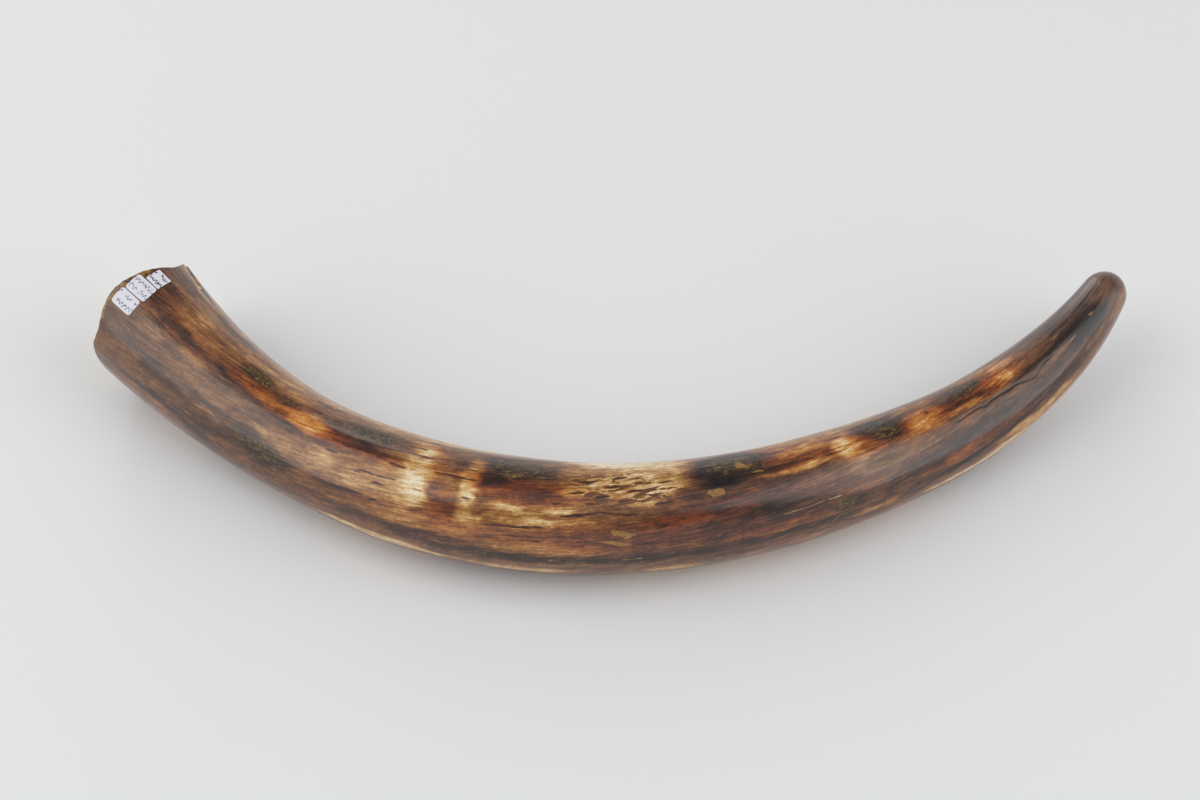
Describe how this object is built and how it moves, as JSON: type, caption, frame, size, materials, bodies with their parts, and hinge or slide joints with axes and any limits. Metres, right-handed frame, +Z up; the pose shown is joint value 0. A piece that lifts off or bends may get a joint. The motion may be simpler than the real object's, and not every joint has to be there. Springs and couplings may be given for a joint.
{
  "type": "mammoth tusk",
  "caption": "Polished fossil mammoth tusk lying on its side, curved in one long bow, with a broken base and small paper labels.",
  "frame": {"origin": "centre of the part's bounding box at its base, on the plane the tusk lies on", "axes": "+X along the bow from the broken base to the tip, +Y towards the open side of the curve, +Z up"},
  "size_m": [0.5584, 0.1852, 0.0764],
  "materials": {
    "polished_ivory": "fossil mammoth ivory with its brown bark, ground smooth and polished, clear soft gloss",
    "label_paper": "thin matte off-white sticker paper"
  },
  "bodies": {
    "root": {"tusk": "polished_ivory", "label_square": "label_paper", "label_upper": "label_paper", "label_lower": "label_paper"}
  },
  "joints": []
}
